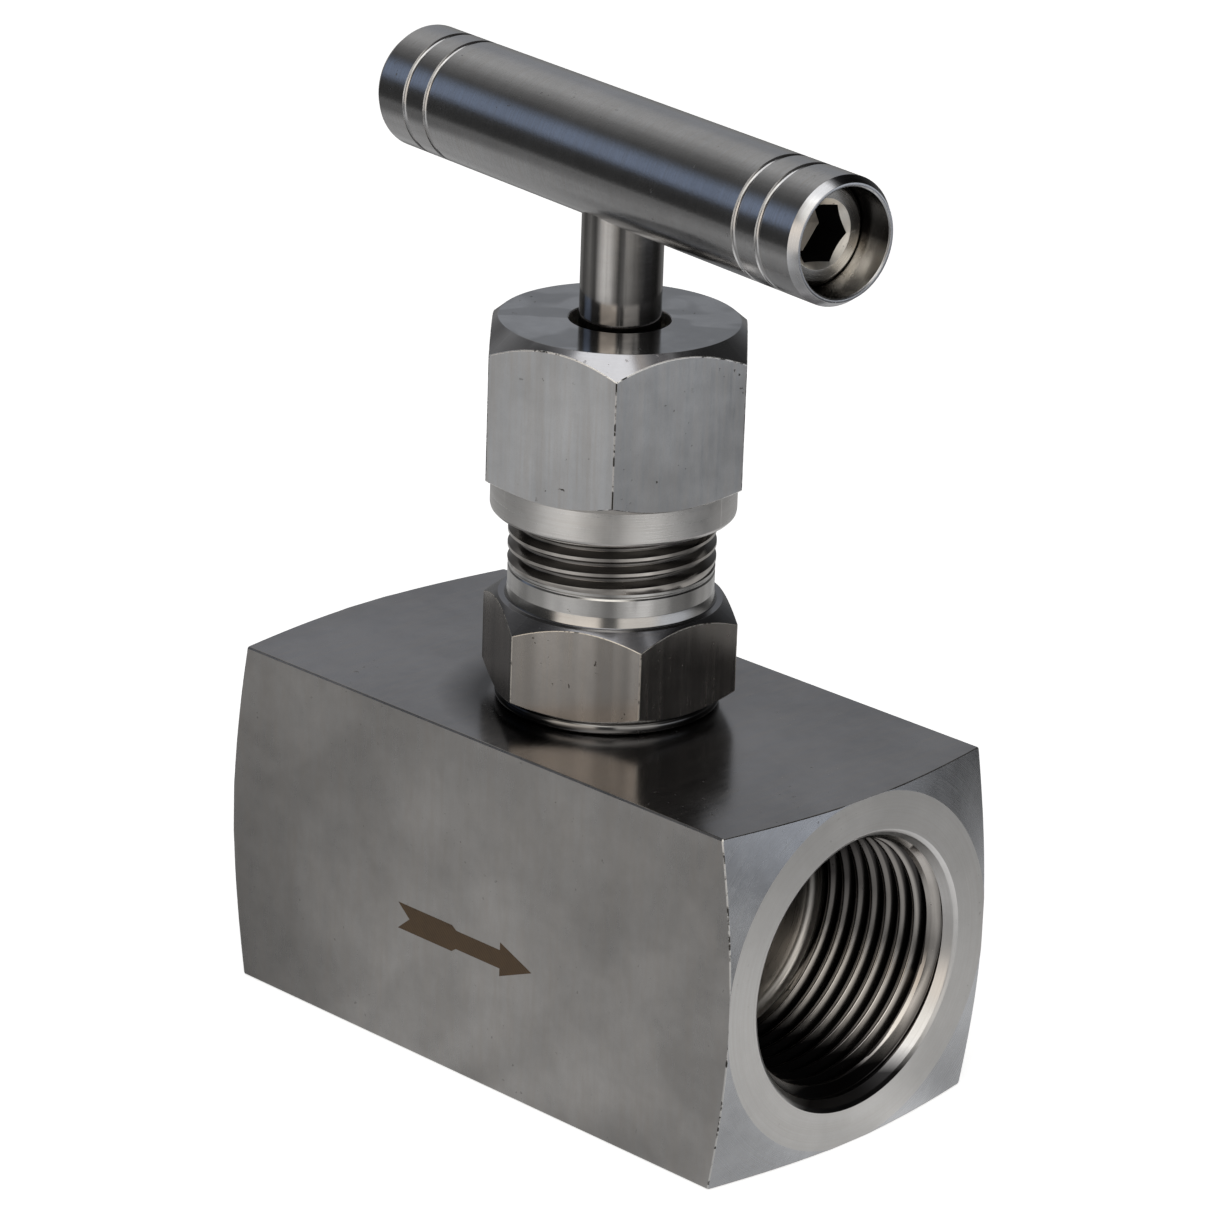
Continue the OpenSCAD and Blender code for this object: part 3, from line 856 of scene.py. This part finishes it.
bonnet_hexagon = hexagon_face(BONNET_FLAT, BONNET_TURN, BONNET_HEX_Z + 0.5, NECK_Z - 1.6,
                              NECK_Z + 0.1)


def bonnet_face(centre, normal):
    """6 the thread, 7 its crests, the rest as on any hexagon."""
    if centre.z <= THREAD_Z:
        return bonnet_hexagon(centre, normal)
    on_crest = math.hypot(centre.x, centre.y) > CREST_R - 0.15 and abs(normal.z) < 0.45
    return 7 if on_crest else 6


bonnet = bonnet_mesh()
even_shading(bonnet)
dress(bonnet, BONNET_STEEL, BONNET_FLATS, BONNET_CONE_PAINTED_DARK, BONNET_CONE_PAINTED_DARK, BONNET_EDGE, BONNET_EDGE,
      THREAD_FLANK_PAINTED_SHADE, THREAD_CREST, choose=bonnet_face)
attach(bonnet, "valve_body")
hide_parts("bonnet")


# ---------------------------------------------------------------- packing nut
NUT_BASE = 54.2
NUT_HEX_Z = 57.6  # the hexagon's underside
NUT_TOP_Z = 73.0
NUT_TOP_R = 11.45  # flat round top inside the cone over the corners
COLLAR_R = 11.75


def nut_outline(rho):
    corner = NUT_FLAT / math.cos(math.pi / 6)
    below = NUT_HEX_Z + (rho - NUT_FLAT + 0.05) * 1.1 / (corner - NUT_FLAT + 0.05)
    above = NUT_TOP_Z - (rho - NUT_TOP_R) * 2 / (corner - NUT_TOP_R)
    return [
        (10.7, NUT_BASE, 0.05), (COLLAR_R, NUT_BASE, 0.45), (COLLAR_R, NUT_HEX_Z, 0.05),
        (NUT_FLAT - 0.05, NUT_HEX_Z, 0.03), (rho, below, 0.12), (rho, above, 0.19),
        (NUT_TOP_R, NUT_TOP_Z, 0.10), (4.8, NUT_TOP_Z, 0.22), (4.8, 68.7, 0), (10.0, 68.7, 0),
        (10.0, NUT_BASE + 0.7, 0)]


def nut_mesh():
    bm = bmesh.new()
    columns = polygon_columns(6, NUT_FLAT, NUT_TURN, 0.15, 26)
    skin(bm, columns, profile_rings(columns, nut_outline, 3), closed=True)
    return finish_mesh("packing_nut_shell", bm, sharp=32)


nut = nut_mesh()
even_shading(nut)
dress(nut, NUT_STEEL, NUT_FLATS, NUT_CONE, NUT_TOP, NUT_EDGE, NUT_CORNER,
      choose=hexagon_face(NUT_FLAT, NUT_TURN, NUT_HEX_Z + 0.7, NUT_TOP_Z - 2.1, NUT_TOP_Z))
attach(nut, "valve_body")
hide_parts("packing_nut")


# ---------------------------------------------------------------- handle
ALONG_HANDLE = (Matrix.Translation((0, 0, HANDLE_Z)) @ Matrix.Rotation(HANDLE_TURN, 4, "Z")
                @ Matrix.Rotation(math.pi / 2, 4, "Y"))
TO_HANDLE = ALONG_HANDLE.inverted()
GROOVES = (-26.7, -23.4, 23.4, 26.7)
GROOVE_R = 0.38
GROOVE_DEPTH = 0.3
SCREW_SEAT = 22.5  # floor of the counterbore
SCREW_HOLE_R = 3.02


def bar_profile():
    lip = math.acos((GROOVE_R - GROOVE_DEPTH) / GROOVE_R)
    line = [(0, -HANDLE_HALF, 0), (RIM_R, -HANDLE_HALF, 0.1), (HANDLE_R, BEVEL - HANDLE_HALF, 0.1)]
    for place in GROOVES:
        for k in range(11):
            bend = lip * (k / 5 - 1)
            line.append((HANDLE_R + GROOVE_R - GROOVE_DEPTH - GROOVE_R * math.cos(bend),
                         place + GROOVE_R * math.sin(bend), 0))
    lead = 0.14
    line += [(HANDLE_R, HANDLE_HALF - BEVEL, 0.06), (RIM_R, HANDLE_HALF, 0.06),
             (BORE_R + lead, HANDLE_HALF, 0.03), (BORE_R, HANDLE_HALF - lead, 0.03),
             (BORE_R, SCREW_SEAT, 0.1), (SCREW_HOLE_R, SCREW_SEAT, 0), (SCREW_HOLE_R, 0, 0), (0, 0, 0)]
    return line


def bar_face(centre, normal):
    """1 the rims, 2 their bevels, 3 the counterbore, 0 the rest of the bar."""
    spot = TO_HANDLE @ centre
    radius = math.hypot(spot.x, spot.y)
    if radius < BORE_R + 0.02 and spot.z > 0:
        return 3
    if abs(spot.z) < HANDLE_HALF - BEVEL - 0.02:
        return 0
    return 2 if radius > RIM_R else 1


handle = turned("handle_bar_shell", bar_profile(), ALONG_HANDLE, count=192, steps=3, sharp=50)
dress(handle, HANDLE_STEEL, RIM_STEEL, BEVEL_STEEL, BORE_STEEL, choose=bar_face)
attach(handle, "stem_unit")
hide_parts("handle_bar")


# ---------------------------------------------------------------- handle screw
SCREW_FACE = 28.5
SCREW_TIP = 2.52
LEAD_R = 3.3  # mouth of the cone that leads into the socket
SOCKET_FLAT = 2.6
SOCKET_TURN = math.radians(-7)


def screw_outline(rho):
    under_head = SCREW_SEAT + 0.02
    lead = SCREW_FACE - (LEAD_R - rho) * math.tan(math.radians(30))
    return [
        (0, SCREW_TIP, 0), (2.3, SCREW_TIP, 0), (3.0, SCREW_TIP + 0.68, 0), (3.0, under_head, 0),
        (5.0, under_head, 0.1), (5.0, SCREW_FACE - 0.6, 0.12), (4.4, SCREW_FACE, 0.25),
        (LEAD_R, SCREW_FACE, 0.05), (rho, lead, 0.05), (rho, SCREW_FACE - 4.0, 0.03),
        (0, SCREW_FACE - 4.4, 0)]


def screw_mesh():
    bm = bmesh.new()
    columns = polygon_columns(6, SOCKET_FLAT, SOCKET_TURN, 0.12, 14)
    skin(bm, columns, profile_rings(columns, screw_outline, 3), closed=True)
    return finish_mesh("handle_screw_shell", bm, ALONG_HANDLE, 32)


def screw_face(centre, normal):
    """1 the hexagon socket's walls, 2 its floor, 3 the cone leading into it, 0 the rest."""
    spot = TO_HANDLE @ centre
    if math.hypot(spot.x, spot.y) > LEAD_R + 0.04 or spot.z < SCREW_SEAT + 0.5:
        return 0
    if abs((TO_HANDLE.to_3x3() @ normal).z) < 0.5:
        return 1
    return 2 if spot.z < SCREW_FACE - 2.5 else 3


screw = screw_mesh()
even_shading(screw)
dress(screw, SCREW_STEEL, SOCKET_PAINTED_SHADE, SOCKET_FLOOR, SOCKET_LEAD, choose=screw_face)
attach(screw, "stem_unit")
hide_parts("handle_screw")


# ---------------------------------------------------------------- pieces carried over from CAD
for node, material in {
        "packing_washer": WASHER_STEEL, "packing_bottom_adapter": PTFE, "packing_ring_1": PTFE,
        "packing_ring_2": PTFE, "packing_ring_3": PTFE, "packing_ring_4": PTFE,
        "packing_top_adapter": PTFE, "gland_follower": NUT_STEEL, "needle": NEEDLE_STEEL,
        "thrust_ball": NEEDLE_STEEL, "needle_retaining_ring": NEEDLE_STEEL,
        "stem": STEM_STEEL}.items():
    dress(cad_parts[node], material)


# ---------------------------------------------------------------- floor, room, light and camera
VIEW_AZIMUTH = CAMERA_TURN - math.pi / 2  # from the valve towards the camera
WINDOW_AZIMUTH = VIEW_AZIMUTH - 0.09
WINDOW = Vector((math.cos(WINDOW_AZIMUTH), math.sin(WINDOW_AZIMUTH), math.tan(0.77))).normalized()
DARK_SPOT = (94.0, 4.0)  # on the table in front of the outlet
BLACK = (0.01, 0.01, 0.01, 1)
CEILING = (0.34, 0.34, 0.35, 1)
WINDOW_LIGHT = (1.5, 1.46, 1.38, 1)

# What the metal sees round it: (degrees from the camera, brightness or colour), on the table
# from near to far, and then in the room from low to high.
TABLE_NEAR = [
    (-180, 0.36), (-118, 0.20), (-97, 0.26), (-78, 0.41), (-60, 0.42), (-44, 0.31), (-30, 0.38),
    (0, 0.30), (30, 0.44), (44, 0.62), (60, 0.90), (74, 0.54), (90, 0.62), (135, 0.50), (180, 0.36)]
TABLE_MIDDLE = [
    (-180, 0.16), (-155, 0.42), (-125, 0.38), (-105, 0.28), (-80, 0.40), (-62, 0.62), (-35, 0.68),
    (-15, 0.36), (0, 0.20), (13, 0.50), (25, 0.84), (40, 0.88), (58, 0.50), (72, 0.24), (92, 0.15),
    (125, 0.40), (155, 0.42), (180, 0.16)]
TABLE_FAR = [
    (-180, 0.15), (-155, 0.20), (-125, 0.10), (-100, 0.20), (-80, 0.09), (-56, 0.74), (-36, 0.80),
    (-20, 0.28), (-8, 0.08), (3, 0.14), (10, 0.26), (22, 0.24), (38, 0.12), (54, 0.05), (72, 0.01),
    (110, 0.01), (155, 0.20), (180, 0.15)]
TABLE_END = [
    (-180, 0.20), (-120, 0.035), (-66, 0.035), (-52, (0.95, 0.89, 0.82)),
    (-14, (1.05, 0.98, 0.90)), (-6, 0.10), (6, 0.10), (13, (0.95, 0.91, 0.86)),
    (44, (0.95, 0.92, 0.88)), (60, (0.74, 0.77, 0.82)), (78, (0.68, 0.71, 0.77)), (108, 0.28),
    (140, 0.12), (180, 0.20)]
ROOM_LOW = [
    (-180, 0.26), (-150, 0.22), (-120, 0.05), (-66, 0.035), (-52, (0.95, 0.89, 0.82)),
    (-14, (1.05, 0.98, 0.90)), (-6, 0.10), (6, 0.10), (13, (0.90, 0.87, 0.82)),
    (44, (0.85, 0.83, 0.80)), (60, (0.72, 0.75, 0.80)), (78, (0.62, 0.65, 0.71)), (96, 0.08),
    (140, 0.16), (180, 0.26)]
ROOM_WALL = [
    (-180, (0.31, 0.32, 0.34)), (-168, (0.36, 0.37, 0.40)), (-156, 0.17), (-122, 0.07),
    (-112, (0.22, 0.27, 0.37)), (-96, (0.24, 0.29, 0.40)), (-84, 0.06), (-62, 0.06),
    (-50, (1.30, 1.17, 1.03)), (-14, (1.30, 1.17, 1.03)), (-6, 0.08), (6, 0.08),
    (14, (0.95, 0.92, 0.88)), (44, (0.80, 0.78, 0.75)), (60, 0.06), (100, 0.03), (140, 0.08),
    (166, (0.20, 0.21, 0.22)), (180, (0.31, 0.32, 0.34))]
ROOM_HIGH = [
    (-180, 0.42), (-166, 0.46), (-154, 0.50), (-141, 0.36), (-127, 0.18), (-114, 0.08), (0, 0.10),
    (60, 0.06), (90, 0.02), (146, 0.04), (164, 0.32), (180, 0.42)]


def bearing(n, x, y):
    """0 to 1 round the vertical axis, 0.5 towards the camera, growing towards the camera's right."""
    ahead = (math.cos(VIEW_AZIMUTH), math.sin(VIEW_AZIMUTH))
    along = n.math("ADD", n.math("MULTIPLY", x, ahead[0]), n.math("MULTIPLY", y, ahead[1]))
    across = n.math("SUBTRACT", n.math("MULTIPLY", y, ahead[0]), n.math("MULTIPLY", x, ahead[1]))
    return n.math("ADD", n.math("MULTIPLY", n.math("ARCTAN2", across, along), 1 / TAU), 0.5)


def round_the_view(n, turn, stops):
    """Colour read off stops, given in degrees from the camera."""
    return n.ramp(turn, [(0.5 + degrees / 360, value) for degrees, value in stops])


def table_light(n):
    """The table as the metal mirrors it, lit from two sides and patchy."""
    position = n.add("ShaderNodeNewGeometry").outputs["Position"]
    parts = n.xyz(n.vector("MULTIPLY", position, (1000.0,) * 3))
    x, y = parts["X"], parts["Y"]
    distance = n.hypot(x, y)
    turn = bearing(n, x, y)
    near, middle, far, end = [round_the_view(n, turn, stops)
                              for stops in (TABLE_NEAR, TABLE_MIDDLE, TABLE_FAR, TABLE_END)]
    seen = n.mix(n.spread(distance, 94.0, 128.0, 0.0, 1.0), near, middle)
    aside = n.hypot(n.math("SUBTRACT", x, DARK_SPOT[0]), n.math("SUBTRACT", y, DARK_SPOT[1]))
    seen = n.mix(n.spread(aside, 13.0, 26.0, 0.97, 0.0), seen, BLACK)
    seen = n.mix(n.spread(distance, 160.0, 205.0, 0.0, 1.0), seen, far)
    seen = n.mix(n.spread(distance, 285.0, 370.0, 0.0, 1.0), seen, end)
    blotch = n.noise(position, 22.0, 2.0, 0.5)
    return n.add("ShaderNodeEmission", Color=seen, Strength=n.spread(blotch, 0.38, 0.62, 0.82, 1.14))


def stage_floor():
    """A pale floor, which the metal sees as a table instead."""
    reach = 3000 * MM
    mesh = bpy.data.meshes.new("floor")
    mesh.from_pydata([(-reach, -reach, 0), (reach, -reach, 0), (reach, reach, 0), (-reach, reach, 0)],
                     [], [(0, 1, 2, 3)])
    floor = bpy.data.objects.new("floor", mesh)
    floor.location.z = -0.1 * MM
    bpy.context.scene.collection.objects.link(floor)
    n = Nodes("floor_paint")
    n.put(n.shader.inputs["Base Color"], (0.88, 0.88, 0.88, 1))
    n.put(n.shader.inputs["Roughness"], 0.9)
    n.put(n.shader.inputs["Specular IOR Level"], 0.0)
    pale = n.add("ShaderNodeEmission", Color=(1, 1, 1, 1), Strength=0.70)
    both = n.tree.nodes.new("ShaderNodeAddShader")
    n.put(both.inputs[0], n.shader.outputs[0])
    n.put(both.inputs[1], pale.outputs[0])
    lit = n.tree.nodes.new("ShaderNodeMixShader")
    n.put(lit.inputs[0], n.add("ShaderNodeLightPath").outputs["Is Glossy Ray"])
    n.put(lit.inputs[1], both.outputs[0])
    n.put(lit.inputs[2], table_light(n).outputs[0])
    n.put(n.tree.nodes["Material Output"].inputs["Surface"], lit.outputs[0])
    dress(floor, n.material)


def room_light(n):
    """The room as the metal mirrors it: two light walls, dark between them, and a window above."""
    way = n.add("ShaderNodeTexCoord").outputs["Generated"]
    parts = n.xyz(way)
    height = n.math("MULTIPLY", n.math("ARCSINE", parts["Z"]), 360 / TAU)
    turn = bearing(n, parts["X"], parts["Y"])
    low, wall, high = [round_the_view(n, turn, stops) for stops in (ROOM_LOW, ROOM_WALL, ROOM_HIGH)]
    seen = n.mix(n.spread(height, 4.0, 12.0, 0.0, 1.0), low, wall)
    seen = n.mix(n.spread(height, 22.0, 32.0, 0.0, 1.0), seen, high)
    seen = n.mix(n.spread(height, 56.0, 72.0, 0.0, 1.0), seen, CEILING)
    facing = n.vector("DOT_PRODUCT", way, WINDOW)
    return n.mix(n.spread(facing, 0.89, 0.975, 0.0, 1.0), seen, WINDOW_LIGHT)


def studio_world():
    """A white backdrop for the camera, and a dim room for the metal."""
    world = bpy.data.worlds.new("studio")
    bpy.context.scene.world = world
    world.use_nodes = True
    world.node_tree.nodes.clear()
    n = Nodes("studio", world.node_tree)
    room = n.add("ShaderNodeBackground", Color=room_light(n))
    white = n.add("ShaderNodeBackground", Color=(1, 1, 1, 1))
    mix = n.tree.nodes.new("ShaderNodeMixShader")
    out = n.tree.nodes.new("ShaderNodeOutputWorld")
    n.put(mix.inputs[0], n.add("ShaderNodeLightPath").outputs["Is Camera Ray"])
    n.put(mix.inputs[1], room.outputs[0])
    n.put(mix.inputs[2], white.outputs[0])
    n.put(out.inputs["Surface"], mix.outputs[0])


def soft_light(name, place, aim, size, power):
    light = bpy.data.lights.new(name, "AREA")
    light.shape = "DISK"
    light.size = size * MM
    light.energy = power
    lamp = bpy.data.objects.new(name, light)
    lamp.location = Vector(place) * MM
    lamp.rotation_euler = (Vector(aim) - Vector(place)).to_track_quat("-Z", "Y").to_euler()
    bpy.context.scene.collection.objects.link(lamp)


def photo_camera():
    """The photo's camera, fitted to its outlines."""
    elevation = math.radians(20.082)
    roll = math.radians(2.045)
    distance = 520.7
    target = Vector((0.767, 0.71, AXIS_Z + 27.626))
    level = math.cos(elevation)
    back = Vector((math.sin(CAMERA_TURN) * level, -math.cos(CAMERA_TURN) * level,
                   math.sin(elevation)))
    right = (-back).cross(Vector((0, 0, 1))).normalized()
    up = right.cross(-back)
    tilted_right = right * math.cos(roll) + up * math.sin(roll)
    tilted_up = up * math.cos(roll) - right * math.sin(roll)
    turn = Matrix((tilted_right, tilted_up, back)).transposed().to_4x4()
    lens = bpy.data.cameras.new("camera")
    lens.sensor_width = 36
    lens.lens = 161.758
    lens.shift_x = -0.011676
    lens.shift_y = -0.008049
    lens.clip_end = 20
    camera = bpy.data.objects.new("camera", lens)
    camera.matrix_world = Matrix.Translation((target + back * distance) * MM) @ turn
    bpy.context.scene.collection.objects.link(camera)
    bpy.context.scene.camera = camera


stage_floor()
studio_world()
soft_light("overhead", (110, -110, 900), (0, 0, 40), 720, 1.35)
bpy.context.scene.view_settings.view_transform = "Standard"
photo_camera()
